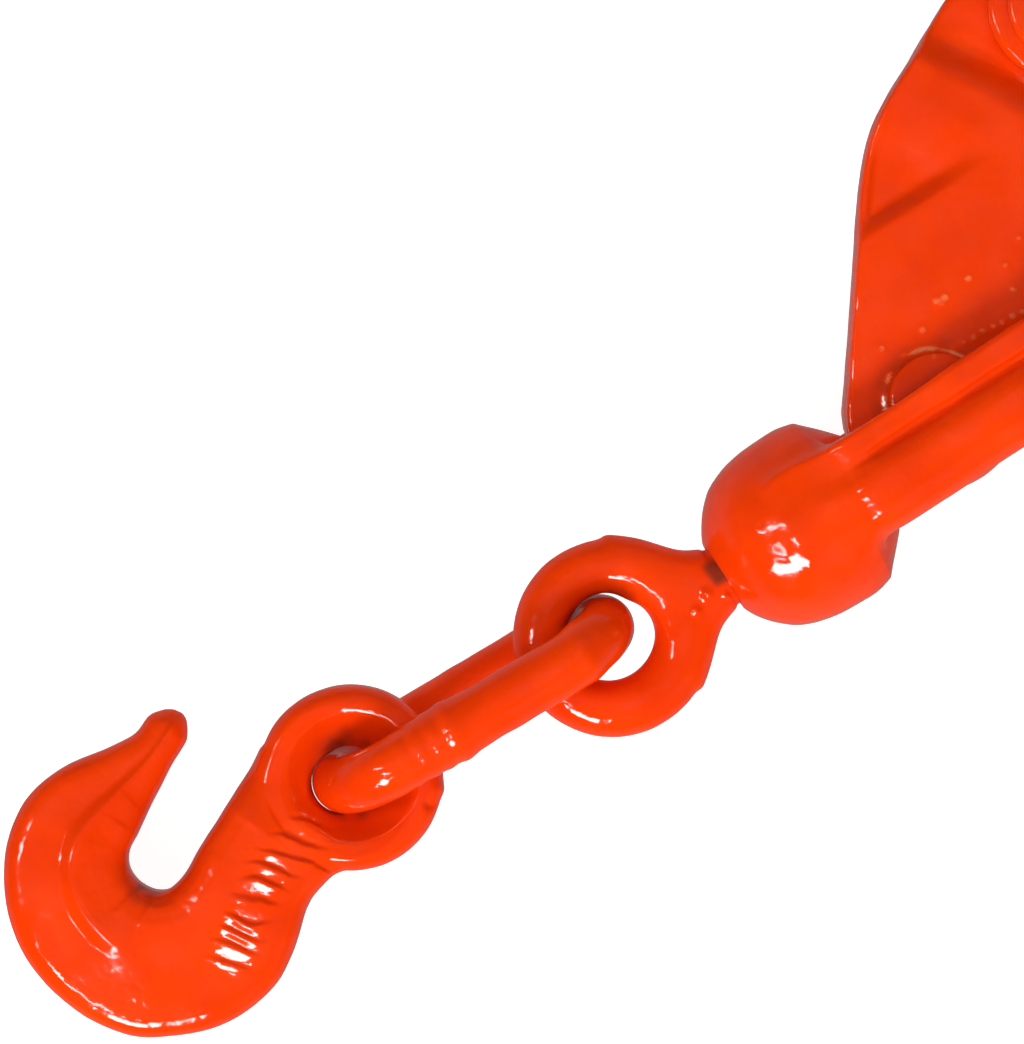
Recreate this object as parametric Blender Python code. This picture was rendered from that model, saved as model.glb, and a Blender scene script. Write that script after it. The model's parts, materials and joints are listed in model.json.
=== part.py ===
"""Lever load binder: two grab hooks, drawn together by a lever that turns between two yokes.

The binder lies on its side. The lever turns in the XY plane, +Z points up out of that plane, and the standing
yoke pulls along -X. The origin is the centre of the standing pivot's lower rivet head, which is the lowest
face. Lengths below are in millimetres and become metres when a mesh is made.
"""

import math

import bmesh
import bpy
from mathutils import Matrix, Vector

MM = 0.001

# Clearances
GAP = 0.3              # between pieces that touch, or turn in each other
SWEEP_GAP = 0.3        # between layers that sweep past each other

# Chain end: swivel eye, coupling link and grab hook. x is measured from the centre of the yoke's boss,
# and points from the hook to the yoke's fork.
LINK_WIRE_R = 6.2
LINK_PITCH = 63.6      # between the wire centres of the link's two bows
LINK_INNER_W = 14.8
LINK_ROLL_DEG = 10.5   # the slack link leans to its side
LINK_YAW_DEG = -1.8    # and points a little off the pull line
EYE_PLAY = 3.4         # from the link's wire to the eye's hole, on the radius
EYE_WIRE_R = 5.6
EYE_CENTRE_X = -45.4
EYE_CENTRE_Y = 1.5     # the forged eye is a little out of line with its shank
HOOK_PLAY = 2.6        # from the link's wire to the hook's hole, on the radius
HOOK_DISH_W = 5.6      # the dished rim round the hook's hole
HOOK_RIM_W = 5.0       # the rounded rim outside the dish
HOOK_EYE_T = 6.6       # half thickness
HOOK_BODY_T = 10.5     # half thickness of the hook's body
HOOK_SEAT = (2.0, -0.2)  # from the link's wire to the centre of the hook's eye

# Swivel
SHANK_R = 6.8
NECK_R = SHANK_R + 0.5
BOSS_R = 19.8
BOSS_BACK_X = -19.2
CROTCH_X = 17.5
BUTTON_SEAT_X = 8.0
BUTTON_R = SHANK_R + 2.9
WASHER_T = 1.8
SPIGOT_R = SHANK_R - 2.3
SPIGOT_L = 4.0

# Pivots and yokes
STANDING_REACH = 104.0  # boss centre to pivot
MOVING_REACH = 116.0
PIVOT_SPACING = 62.0
RIVET_R = 7.0
RIVET_LEDGE = 5.0      # the rivet's head stands this far past its shank
YOKE_END_W = 4.0       # the yoke's ring stands this far past the rivet's head
WEB_T = 5.2            # half thickness of the lever's web
MOVING_END_PLATE = 4.9
MOVING_HEAD = 2.7      # height of the moving rivet's heads
HEEL_PAD_PROUD = 3.1   # the heel's pad stands this far out of the base
STANDING_END_PLATE = 7.3
STANDING_ARM_PLATE = 9.3
STANDING_HEAD = 4.2    # height of the standing rivet's heads
STANDING_ARM_W = 11.2  # half width
MOVING_ARM_W = 7.5
MOVING_BOW = 22.0      # the moving yoke's arms bow round the standing pivot
MOVING_YOKE_DEG = -25.0

# Lever
PAD_WALL = 2.2         # round the standing pivot's hole
HEEL_PAD_R = 9.8
HEEL_Y = 7.5
HEEL_R = 19.0
HEEL_CLEARANCE = 0.9   # from the heel to the standing yoke's crotch, along the pull line
PIVOT_LOBE_R = 17.0
DRAWN_HEEL_X = -66.6   # the outline's points are drawn for a heel here and this pivot spacing,
DRAWN_SPACING = 62.0   # and stretch with the real ones
HANDLE_ROOT = (39.5, 83.5)
HANDLE_DEG = 73.0
HANDLE_LENGTH = 300.0
HANDLE_W = 11.0
HANDLE_T = 9.0
POCKET = ((-39.6, 60.6), (-55.4, 46.2), (-31.4, 46.2))
POCKET_FLOOR = 1.4     # the pocket's floor above the web

# Layers, as half heights from the lever's mid-plane, from the inside out
MOVING_END_T = WEB_T + GAP + MOVING_END_PLATE
INNER_LAYER = MOVING_END_T + MOVING_HEAD    # outer face of what sweeps inside the standing yoke
BASE_T = INNER_LAYER - HEEL_PAD_PROUD
OUTER_INNER_FACE = INNER_LAYER + GAP + SWEEP_GAP
STANDING_END_T = OUTER_INNER_FACE + STANDING_END_PLATE
STANDING_ARM_T = OUTER_INNER_FACE + STANDING_ARM_PLATE
STANDING_HEAD_T = STANDING_END_T + STANDING_HEAD
MID_Z = STANDING_HEAD_T

PAD_R = RIVET_R + GAP + PAD_WALL
RIVET_HEAD_R = RIVET_R + RIVET_LEDGE
YOKE_END_R = RIVET_HEAD_R + YOKE_END_W
HEEL = (-(STANDING_REACH - CROTCH_X - HEEL_R - HEEL_CLEARANCE), HEEL_Y)
EYE_HOLE_R = LINK_WIRE_R + EYE_PLAY
LINK_NEAR = (EYE_CENTRE_X, EYE_CENTRE_Y + EYE_PLAY - GAP - 0.1)  # the slack link lies against the eye's side
HOOK_HOLE_R = LINK_WIRE_R + HOOK_PLAY
HOOK_DISH_R = HOOK_HOLE_R + HOOK_DISH_W
HOOK_EYE_R = HOOK_DISH_R + HOOK_RIM_W
EYE_RING_R = EYE_HOLE_R + EYE_WIRE_R
LINK_BOW_R = LINK_INNER_W / 2 + LINK_WIRE_R
EYE_SEAT_X = EYE_CENTRE_X - EYE_RING_R
LINK_YAW = math.radians(LINK_YAW_DEG)
LINK_FAR = (LINK_NEAR[0] - LINK_PITCH * math.cos(LINK_YAW), LINK_NEAR[1] - LINK_PITCH * math.sin(LINK_YAW))
HOOK_CENTRE = (LINK_FAR[0] + HOOK_SEAT[0], LINK_FAR[1] + HOOK_SEAT[1])

PAINT_RED = (0.86, 0.075, 0.006, 1.0)
STEEL_GREY = (0.42, 0.41, 0.40, 1.0)


# ---------------------------------------------------------------- mesh helpers

def material(name, colour, roughness, metallic):
    found = bpy.data.materials.get(name)
    if found:
        return found
    made = bpy.data.materials.new(name)
    made.use_nodes = True
    shader = made.node_tree.nodes["Principled BSDF"]
    shader.inputs["Base Color"].default_value = colour
    shader.inputs["Roughness"].default_value = roughness
    shader.inputs["Metallic"].default_value = metallic
    return made


def mesh_object(name, rings, closed=False):
    """Skins a list of rings. An open stack of rings gets a flat cap at each end."""
    bm = bmesh.new()
    loops = [[bm.verts.new(Vector(p) * MM) for p in ring] for ring in rings]
    pairs = list(zip(loops, loops[1:]))
    if closed:
        pairs.append((loops[-1], loops[0]))
    for low, high in pairs:
        for i in range(len(low)):
            j = (i + 1) % len(low)
            bm.faces.new((low[i], low[j], high[j], high[i]))
    if not closed:
        bm.faces.new(loops[0])
        bm.faces.new(loops[-1])
    bmesh.ops.recalc_face_normals(bm, faces=bm.faces)
    if bm.calc_volume(signed=True) < 0:
        bmesh.ops.reverse_faces(bm, faces=bm.faces)
    mesh = bpy.data.meshes.new(name)
    bm.to_mesh(mesh)
    bm.free()
    obj = bpy.data.objects.new(name, mesh)
    bpy.context.scene.collection.objects.link(obj)
    return obj


def turned(name, profile, steps, centre=(0.0, 0.0, 0.0), axis="X", closed=True):
    """Turns a profile of (position along the axis, radius) points about the X or the Z axis."""
    rings = []
    for along, radius in profile:
        ring = []
        for k in range(steps):
            turn = math.tau * k / steps
            a = radius * math.cos(turn)
            b = radius * math.sin(turn)
            local = (along, a, b) if axis == "X" else (a, b, along)
            ring.append(tuple(c + v for c, v in zip(centre, local)))
        rings.append(ring)
    return mesh_object(name, rings, closed)


def cylinder(name, radius, low, high, centre=(0.0, 0.0, 0.0), axis="Z", steps=40):
    return turned(name, [(low, radius), (high, radius)], steps, centre, axis, closed=False)


def prism(name, outline, levels):
    """Stacks an outline at (z, inset) levels, as a forging with draft."""
    return mesh_object(name, [[(x, y, z) for x, y in shrink(outline, d)] for z, d in levels])


def shrink(outline, distance):
    """Moves each point of an anticlockwise outline inwards."""
    moved = []
    count = len(outline)
    for i in range(count):
        before = Vector(outline[i - 1])
        here = Vector(outline[i])
        after = Vector(outline[(i + 1) % count])
        along = ((here - before).normalized() + (after - here).normalized()).normalized()
        moved.append((here.x - along.y * distance, here.y + along.x * distance))
    return moved


def arc(centre, radius, start_deg, end_deg, steps):
    points = []
    for k in range(steps + 1):
        turn = math.radians(start_deg + (end_deg - start_deg) * k / steps)
        points.append((centre[0] + radius * math.cos(turn), centre[1] + radius * math.sin(turn)))
    return points


def boolean(target, other, operation):
    """Joins or cuts at once, and keeps only the result."""
    step = target.modifiers.new(operation.lower(), "BOOLEAN")
    step.operation = operation
    step.solver = "EXACT"
    step.object = other
    graph = bpy.context.evaluated_depsgraph_get()
    result = bpy.data.meshes.new_from_object(target.evaluated_get(graph))
    target.modifiers.clear()
    target.data = result
    bpy.data.objects.remove(other)
    return target


def finish(obj, frame, origin, finish_material):
    """Puts the object's origin on its joint and the object in its frame."""
    obj.data.transform(Matrix.Translation(Vector(origin) * -MM))
    obj.matrix_world = frame @ Matrix.Translation(Vector(origin) * MM)
    obj.data.materials.clear()
    obj.data.materials.append(finish_material)
    obj.data.shade_smooth()
    obj.data.set_sharp_from_angle(angle=math.radians(40))
    return obj


def rounded_section(half_w, half_t, corner):
    """A rounded rectangle of twelve points, width first."""
    points = []
    for cx, cy, start in ((1, 1, 0), (-1, 1, 90), (-1, -1, 180), (1, -1, 270)):
        middle = (cx * (half_w - corner), cy * (half_t - corner))
        points += arc(middle, corner, start, start + 90, 2)
    return points


def bar(name, stations):
    """Skins rounded sections along a path. A station is (centre, heading, half width, half thickness)."""
    rings = []
    for centre, heading_deg, half_w, half_t in stations:
        side = Vector((-math.sin(math.radians(heading_deg)), math.cos(math.radians(heading_deg)), 0))
        corner = min(4.0, 0.8 * min(half_w, half_t))
        section = rounded_section(half_w, half_t, corner)
        rings.append([tuple(Vector(centre) + side * w + Vector((0, 0, t))) for w, t in section])
    return mesh_object(name, rings)


# ---------------------------------------------------------------- chain end pieces

def coupling_link(name, frame, paint):
    """A welded link: wire of LINK_WIRE_R bent round two half-circle bows."""
    half = LINK_PITCH / 2 - LINK_BOW_R
    path = []
    for k in range(11):
        turn = math.radians(-90 + 18 * k)
        path.append((half + LINK_BOW_R * math.cos(turn), LINK_BOW_R * math.sin(turn), turn))
    for k in range(11):
        turn = math.radians(90 + 18 * k)
        path.append((-half + LINK_BOW_R * math.cos(turn), LINK_BOW_R * math.sin(turn), turn))
    lean = Matrix.Rotation(LINK_YAW, 3, "Z") @ Matrix.Rotation(math.radians(LINK_ROLL_DEG), 3, "X")
    centre = (Vector((*LINK_NEAR, 0)) + Vector((*LINK_FAR, 0))) / 2
    rings = []
    for x, z, turn in path:
        outward = Vector((math.cos(turn), 0, math.sin(turn)))
        ring = []
        for k in range(12):
            angle = math.tau * k / 12
            wire = outward * math.cos(angle) + Vector((0, 1, 0)) * math.sin(angle)
            ring.append(tuple(centre + lean @ (Vector((x, 0, z)) + wire * LINK_WIRE_R)))
        rings.append(ring)
    obj = mesh_object(name, rings, closed=True)
    return finish(obj, frame, (EYE_SEAT_X, LINK_NEAR[1], 0), paint)


def hook_section(outer, inner, half_t):
    """A forged section: thickest at a ridge nearer the throat, with a sloping back."""
    heights = ((0.0, 0.0), (0.05, 0.45), (0.22, 0.78), (0.5, 0.98), (0.66, 1.0), (0.9, 0.7), (1.0, 0.0))
    across = [(1 - share, height) for share, height in heights]
    top = [(share, height * half_t) for share, height in reversed(across)]
    bottom = [(share, -height) for share, height in reversed(top[1:-1])]
    ring = []
    for share, z in top + bottom:
        ring.append((inner[0] + (outer[0] - inner[0]) * share, inner[1] + (outer[1] - inner[1]) * share, z))
    return ring


def grab_hook(name, frame, paint):
    """A forged grab hook. Each station pairs a point of the back with a point of the throat side."""
    stations = (
        ((-12.6, -15.0), (-12.6, 14.8), 0.62), ((-20.7, -17.2), (-20.0, 11.5), 0.80),
        ((-28.2, -23.3), (-27.5, 7.9), 0.92), ((-35.3, -27.7), (-34.5, 4.5), 1.0),
        ((-43.8, -29.4), (-39.5, 1.9), 1.0), ((-51.9, -28.7), (-42.5, 1.0), 1.0),
        ((-59.5, -25.8), (-44.5, 0.9), 1.0), ((-67.2, -20.9), (-46.3, 1.8), 1.0),
        ((-71.9, -14.7), (-47.6, 3.3), 1.0), ((-76.9, -1.9), (-48.7, 6.0), 1.0),
        ((-77.0, 9.1), (-48.7, 9.0), 1.0), ((-72.0, 21.2), (-47.3, 11.5), 0.98),
        ((-66.6, 27.8), (-43.6, 13.9), 0.94), ((-59.3, 32.6), (-38.5, 17.0), 0.86),
        ((-50.2, 34.2), (-34.5, 19.2), 0.76), ((-38.5, 32.4), (-29.7, 22.0), 0.62),
        ((-32.8, 32.0), (-26.5, 23.6), 0.55), ((-27.7, 33.5), (-24.4, 24.8), 0.50),
        ((-24.6, 32.4), (-22.8, 27.0), 0.30),
    )
    body = mesh_object(name, [hook_section(o, i, t * HOOK_BODY_T) for o, i, t in stations])
    edge = HOOK_EYE_T * 0.4
    half_eye = [(HOOK_HOLE_R, edge), (HOOK_DISH_R, HOOK_EYE_T), (HOOK_EYE_R - 2.2, HOOK_EYE_T * 0.9),
                (HOOK_EYE_R, HOOK_EYE_T * 0.4)]
    profile = [(z, r) for r, z in half_eye] + [(-z, r) for r, z in reversed(half_eye)]
    eye = turned(name + "_eye", profile, 36, axis="Z")
    bore = turned(name + "_bore", [(-HOOK_BODY_T, HOOK_DISH_R + 2.6), (-edge, HOOK_HOLE_R),
                                   (edge, HOOK_HOLE_R), (HOOK_BODY_T, HOOK_DISH_R + 2.6)],
                  36, axis="Z", closed=False)
    boolean(body, bore, "DIFFERENCE")
    boolean(body, eye, "UNION")
    body.data.transform(Matrix.Translation(Vector((*HOOK_CENTRE, 0)) * MM))
    return finish(body, frame, (*LINK_FAR, 0), paint)


def swivel_eye(name, frame, paint):
    """A forged eye whose shoulders taper to a neck, and a shank that turns in the boss."""
    steps = 40
    rings = []
    for k in range(steps):
        turn = math.tau * k / steps
        outward = Vector((math.cos(turn), math.sin(turn), 0))
        ring = []
        for j in range(10):
            angle = math.tau * j / 10
            wire = outward * math.cos(angle) + Vector((0, 0, 1)) * math.sin(angle)
            centre = Vector((EYE_CENTRE_X, EYE_CENTRE_Y, 0))
            ring.append(tuple(centre + outward * EYE_RING_R + wire * EYE_WIRE_R))
        rings.append(ring)
    eye = mesh_object(name, rings, closed=True)
    shoulder_x = EYE_CENTRE_X + EYE_HOLE_R + 0.6
    neck_x = BOSS_BACK_X - GAP
    shoulders = []
    for share, half_w, half_t in ((0.0, 16.4, 3.6), (0.25, 14.0, 5.2), (0.55, 10.0, 6.0), (0.85, 7.7, 6.8),
                                  (1.0, NECK_R, NECK_R)):
        x = shoulder_x + (neck_x - shoulder_x) * share
        y = EYE_CENTRE_Y * (1 - share)
        shoulders.append([(x, y + half_w * math.cos(math.tau * k / 24), half_t * math.sin(math.tau * k / 24))
                          for k in range(24)])
    washer_end = BUTTON_SEAT_X + GAP + WASHER_T
    shank = [(neck_x - 2, SHANK_R), (washer_end, SHANK_R), (washer_end, SPIGOT_R),
             (washer_end + SPIGOT_L, SPIGOT_R)]
    boolean(eye, mesh_object(name + "_shoulders", shoulders), "UNION")
    boolean(eye, turned(name + "_shank", shank, 24, closed=False), "UNION")
    return finish(eye, frame, (0, 0, 0), paint)


def swivel_washer(name, frame, steel):
    start = BUTTON_SEAT_X + GAP
    hole = SHANK_R + GAP
    profile = [(start, hole), (start, BUTTON_R), (start + WASHER_T, BUTTON_R), (start + WASHER_T, hole)]
    return finish(turned(name, profile, 32), frame, (0, 0, 0), steel)


def swivel_button(name, frame, steel):
    """The head that keeps the shank in the boss, on a spigot at the shank's end."""
    start = BUTTON_SEAT_X + WASHER_T + 2 * GAP
    socket_end = BUTTON_SEAT_X + WASHER_T + SPIGOT_L + 2 * GAP
    face = CROTCH_X - GAP
    edge = [(start, BUTTON_R), (face - 1.2, BUTTON_R), (face, BUTTON_R - 2.4)]
    button = turned(name, edge, 32, closed=False)
    socket = turned(name + "_socket", [(start - 1, SPIGOT_R + GAP), (socket_end, SPIGOT_R + GAP)], 32,
                    closed=False)
    return finish(boolean(button, socket, "DIFFERENCE"), frame, (0, 0, 0), steel)


# ---------------------------------------------------------------- yokes and pivots

def boss(name):
    """The yoke's ball-shaped boss, bored for the shank and counterbored for the button."""
    back_drops = ((0, 10.6), (1.8, 8.8), (4.0, 5.8), (6.8, 2.9), (10.4, 1.2), (14.2, 0.4))
    front_drops = ((15.0, 0.0), (9.5, 0.6), (6.0, 2.4), (2.7, 5.2), (0, 7.8))
    outer = (tuple((BOSS_BACK_X + x, BOSS_R - drop) for x, drop in back_drops)
             + tuple((CROTCH_X - x, BOSS_R - drop) for x, drop in front_drops))
    inner = ((CROTCH_X, BUTTON_R + 2 * GAP), (BUTTON_SEAT_X, BUTTON_R + 2 * GAP),
             (BUTTON_SEAT_X, SHANK_R + GAP), (BOSS_BACK_X, SHANK_R + GAP))
    return turned(name, outer + inner, 36)


def yoke(name, frame, reach, arm_stations, end_low, end_high, paint):
    """A boss with two arms, one on each side of the lever, and a pivot ring at each arm's end."""
    body = boss(name)
    for side in (1, -1):
        stations = [((x, y, side * z), heading, w, t) for (x, y, z), heading, w, t in arm_stations]
        boolean(body, bar(name + "_arm", stations), "UNION")
        low, high = sorted((side * end_low, side * end_high))
        boolean(body, cylinder(name + "_end", YOKE_END_R, low, high, (reach, 0, 0)), "UNION")
    hole = cylinder(name + "_hole", RIVET_R + GAP, -STANDING_HEAD_T, STANDING_HEAD_T, (reach, 0, 0))
    boolean(body, hole, "DIFFERENCE")
    return finish(body, frame, (reach, 0, 0), paint)


def standing_yoke(name, frame, paint):
    low = OUTER_INNER_FACE

    def station(x, half_w, high):
        return ((x, 0, (low + high) / 2), 0, half_w, (high - low) / 2)

    end = STANDING_REACH
    stations = [station(-3.5, 7.0, STANDING_ARM_T - 4.0), station(0.5, 10.2, STANDING_ARM_T - 1.4),
                station(6.5, STANDING_ARM_W, STANDING_ARM_T),
                station(end - 26, STANDING_ARM_W - 0.7, STANDING_ARM_T),
                station(end - 15, STANDING_ARM_W - 0.7, STANDING_END_T),
                station(end, STANDING_ARM_W - 1.2, STANDING_END_T - 0.4)]
    return yoke(name, frame, STANDING_REACH, stations, low, STANDING_END_T, paint)


def moving_yoke(name, frame, paint):
    """Its arms run close to the lever's web, bow round the standing pivot and step out to the boss."""
    low = WEB_T + GAP
    inner_mid = (low + INNER_LAYER) / 2
    inner_half = (INNER_LAYER - low) / 2
    end_mid = (low + MOVING_END_T - 0.4) / 2
    end_half = (MOVING_END_T - 0.4 - low) / 2
    reach = MOVING_REACH
    levels = ((0, end_mid, end_half, 0), (10, end_mid, end_half, 0.12), (20, inner_mid, inner_half, 0.36),
              (32, inner_mid, inner_half, 0.66), (46, inner_mid, inner_half, 0.92),
              (60, inner_mid, inner_half, 1.0), (72, inner_mid, inner_half, 0.94),
              (82, inner_mid, inner_half, 0.76), (91, INNER_LAYER + 0.4, 4.0, 0.5),
              (99, INNER_LAYER + 3.3, 4.2, 0.26), (108, INNER_LAYER + 3.3, 4.2, 0.06),
              (118, INNER_LAYER + 2.1, 3.0, 0.0))
    path = [(reach - x, -MOVING_BOW * share, z, half) for x, z, half, share in reversed(levels)]
    stations = []
    for i, (x, y, z, half) in enumerate(path):
        before = path[max(i - 1, 0)]
        after = path[min(i + 1, len(path) - 1)]
        heading = math.degrees(math.atan2(after[1] - before[1], after[0] - before[0]))
        stations.append(((x, y, z), heading, MOVING_ARM_W, half))
    return yoke(name, frame, reach, stations, low, MOVING_END_T, paint)


def pivot_rivet(name, centre, grip, head_face, head_r, paint):
    """A rivet with a low domed head on both sides. grip is the half length under the heads."""
    under = grip + GAP
    half = [(under, RIVET_R), (under, head_r), (under + 0.45 * (head_face - under), head_r),
            (head_face - 0.25, 0.86 * head_r), (head_face, 0.7 * head_r)]
    profile = [(-z, r) for z, r in reversed(half)] + half
    obj = turned(name, profile, 36, (0, 0, 0), "Z", closed=False)
    frame = Matrix.Translation(Vector((*centre, MID_Z)) * MM)
    return finish(obj, frame, (0, 0, 0), paint)


# ---------------------------------------------------------------- lever

def stretched(points):
    """Moves drawn points with the heel and the moving pivot."""
    across = HEEL[0] / DRAWN_HEEL_X
    up = PIVOT_SPACING / DRAWN_SPACING
    return [(x * across if x < 0 else x, y * up) for x, y in points]


def heel_and_pivot_edge():
    """The lower edge, from the heel's left side round to the lobe at the standing pivot."""
    return (arc(HEEL, HEEL_R, 165, 338, 18) + stretched([(-42.0, 4.0), (-33.5, 3.6), (-24.5, -1.0)])
            + arc((0, 0), PIVOT_LOBE_R, 206, 262, 6))


def back_edge():
    """The left edge, from the moving pivot's shoulder down to the heel."""
    return stretched([(-32.1, 69.7), (-40.0, 66.0), (-46.6, 62.0), (-53.0, 56.0), (-61.9, 44.4),
                      (-70.6, 32.6), (-79.6, 20.4)])


def lever(name, paint):
    """Base, neck and handle in one forging. The web is thin where the moving yoke's arms swing past it."""
    root = Vector(stretched([HANDLE_ROOT])[0])
    heading = Vector((math.cos(math.radians(HANDLE_DEG)), math.sin(math.radians(HANDLE_DEG))))
    right = Vector((heading.y, -heading.x))
    neck_end = root + heading * 62
    web = (heel_and_pivot_edge() + arc((0, 0), PIVOT_LOBE_R, 275, 378, 9)
           + stretched([(15.6, 24.0), (18.0, 40.0), (25.5, 54.0), (37.0, 64.0), (46.5, 74.0), (52.6, 90.0)])
           + [tuple(neck_end + right * HANDLE_W), tuple(neck_end - right * HANDLE_W)]
           + stretched([(36.2, 110.6), (31.9, 97.5), (27.4, 91.2), (21.5, 86.5), (14.0, 83.0), (7.0, 82.2),
                        (0.0, 81.8), (-8.0, 80.0), (-19.6, 76.3)])
           + back_edge())
    base = (heel_and_pivot_edge()
            + stretched([(-0.5, -9.0), (-0.5, 9.0), (-1.0, 20.0), (-3.6, 30.0), (-9.5, 37.0),
                         (-19.6, 46.4), (-31.6, 66.8)])
            + back_edge()[1:])
    body = prism(name, web, ((-WEB_T, 0.6), (-WEB_T + 0.8, 0.0), (WEB_T - 0.8, 0.0), (WEB_T, 0.6)))
    for side in (1, -1):
        slab = prism(name + "_base", base, sorted(((0.4 * side, 0.35), (side * (BASE_T - 1.4), 0.7),
                                                   (side * BASE_T, 2.0))))
        boolean(body, slab, "UNION")
        pad = cylinder(name + "_pad", PAD_R, *sorted((side * WEB_T / 2, side * (INNER_LAYER + SWEEP_GAP))))
        boolean(body, pad, "UNION")
        heel = cylinder(name + "_heel", HEEL_PAD_R, *sorted((side * WEB_T, side * INNER_LAYER)), (*HEEL, 0))
        boolean(body, heel, "UNION")
        levels = sorted(((side * (WEB_T + POCKET_FLOOR), 1.0), (side * (BASE_T + 1), -1.2)))
        boolean(body, prism(name + "_pocket", stretched(POCKET), levels), "DIFFERENCE")

    def station(along, half_w, half_t):
        spot = root + heading * along
        return ((spot.x, spot.y, 0), HANDLE_DEG, half_w, half_t)

    end = HANDLE_LENGTH
    handle = bar(name + "_handle", [
        station(44, HANDLE_W - 1.5, WEB_T - 0.8), station(54, HANDLE_W + 0.4, HANDLE_T - 1.4),
        station(66, HANDLE_W + 0.4, HANDLE_T), station(end * 0.55, HANDLE_W - 0.6, HANDLE_T),
        station(end - 34, HANDLE_W - 0.4, HANDLE_T), station(end - 20, HANDLE_W + 2.4, HANDLE_T + 1.4),
        station(end - 8, HANDLE_W + 2.6, HANDLE_T + 1.6), station(end - 2.5, HANDLE_W + 0.4, HANDLE_T - 0.6),
        station(end, HANDLE_W - 4.0, HANDLE_T - 4.4)])
    boolean(body, handle, "UNION")
    for centre in ((0, 0, 0), (0, PIVOT_SPACING, 0)):
        hole = cylinder(name + "_hole", RIVET_R + GAP, -STANDING_HEAD_T, STANDING_HEAD_T, centre)
        boolean(body, hole, "DIFFERENCE")
    frame = Matrix.Translation(Vector((0, 0, MID_Z)) * MM)
    return finish(body, frame, (0, 0, 0), paint)


# ---------------------------------------------------------------- assembly

def chain_end(suffix, frame, paint, steel):
    swivel_eye("swivel_eye_" + suffix, frame, paint)
    swivel_washer("swivel_washer_" + suffix, frame, steel)
    swivel_button("swivel_button_" + suffix, frame, steel)
    coupling_link("coupling_link_" + suffix, frame, paint)
    grab_hook("grab_hook_" + suffix, frame, paint)


def main():
    for obj in list(bpy.data.objects):
        bpy.data.objects.remove(obj)
    paint = material("binder_paint", PAINT_RED, 0.22, 0.0)
    steel = material("swivel_steel", STEEL_GREY, 0.38, 1.0)

    frame_a = Matrix.Translation(Vector((-STANDING_REACH, 0, MID_Z)) * MM)
    turn_b = math.radians(MOVING_YOKE_DEG)
    way_b = Vector((math.cos(turn_b), math.sin(turn_b), 0))
    boss_b = Vector((0, PIVOT_SPACING, MID_Z)) + MOVING_REACH * way_b
    frame_b = Matrix.Translation(boss_b * MM) @ Matrix.Rotation(turn_b + math.pi, 4, "Z")

    lever("lever", paint)
    standing_yoke("standing_yoke", frame_a, paint)
    moving_yoke("moving_yoke", frame_b, paint)
    pivot_rivet("pivot_rivet_a", (0, 0), STANDING_END_T, STANDING_HEAD_T, RIVET_HEAD_R - 0.5, paint)
    pivot_rivet("pivot_rivet_b", (0, PIVOT_SPACING), MOVING_END_T, INNER_LAYER, RIVET_HEAD_R, paint)
    chain_end("a", frame_a, paint, steel)
    chain_end("b", frame_b, paint, steel)


main()
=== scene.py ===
"""The looks of a lever load binder: thick glossy enamel over drop forgings.

Each forging is a signed distance, in millimetres, whose zero surface becomes the mesh. Pieces of a chain end
are drawn in the end's own frame: the origin is the centre of the yoke's boss, x points from the hook to the
fork, and z is up. The lever and the rivets are drawn from the standing pivot, with z from the mid-plane.
The last number given to melt, common, cut and slab is the size of the fillet or of the rounded edge.
"""

import json
import math

import bpy
import numpy as np
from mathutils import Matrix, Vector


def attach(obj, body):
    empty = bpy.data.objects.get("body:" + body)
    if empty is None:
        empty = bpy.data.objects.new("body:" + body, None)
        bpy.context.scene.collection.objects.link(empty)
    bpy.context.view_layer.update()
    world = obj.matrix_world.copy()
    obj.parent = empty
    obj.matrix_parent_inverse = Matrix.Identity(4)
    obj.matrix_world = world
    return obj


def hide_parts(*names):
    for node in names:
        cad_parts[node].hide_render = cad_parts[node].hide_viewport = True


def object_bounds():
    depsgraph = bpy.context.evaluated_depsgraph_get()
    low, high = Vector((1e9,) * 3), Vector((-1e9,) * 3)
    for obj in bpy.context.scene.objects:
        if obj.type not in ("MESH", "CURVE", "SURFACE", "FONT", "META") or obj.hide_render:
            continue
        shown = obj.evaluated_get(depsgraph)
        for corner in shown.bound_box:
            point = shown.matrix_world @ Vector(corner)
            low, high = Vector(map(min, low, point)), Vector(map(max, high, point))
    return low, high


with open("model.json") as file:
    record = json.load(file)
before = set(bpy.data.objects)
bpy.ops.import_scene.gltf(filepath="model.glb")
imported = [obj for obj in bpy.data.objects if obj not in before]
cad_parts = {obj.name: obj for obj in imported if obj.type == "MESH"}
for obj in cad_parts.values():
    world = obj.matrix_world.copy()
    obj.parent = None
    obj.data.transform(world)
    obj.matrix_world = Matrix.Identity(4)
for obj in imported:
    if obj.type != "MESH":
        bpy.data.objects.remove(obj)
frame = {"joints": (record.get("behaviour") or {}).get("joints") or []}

import openvdb
from mathutils import Matrix, Vector

cad_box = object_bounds()

MM = 0.001
JOINTS = {joint["name"]: joint for joint in frame["joints"]}

# Sizes shared with the model, in millimetres
GAP = 0.3
LINK_WIRE_R = 6.2
LINK_INNER_W = 14.8
LINK_ROLL_DEG = 10.5
EYE_CENTRE = (-45.4, 1.5)
EYE_RING_R = 15.2
EYE_WIRE_R = 5.6
HOOK_HOLE_R = 8.8
HOOK_DISH_R = 14.4
HOOK_EYE_R = 19.4
HOOK_BODY_T = 10.5
HOOK_SEAT = (2.0, -0.2)
SHANK_R = 6.8
BUTTON_R = 9.7
BUTTON_SEAT_X = 8.0
WASHER_T = 1.8
SPIGOT_R = 4.5
SPIGOT_L = 4.0
BOSS_BACK_X = -19.2
CROTCH_X = 17.5
RIVET_R = 7.0
YOKE_END_R = 16.0
WEB_T = 5.2
BASE_T = 10.0
INNER_LAYER = 13.1
MOVING_END_T = 10.4
OUTER_INNER_FACE = 13.7
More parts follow.
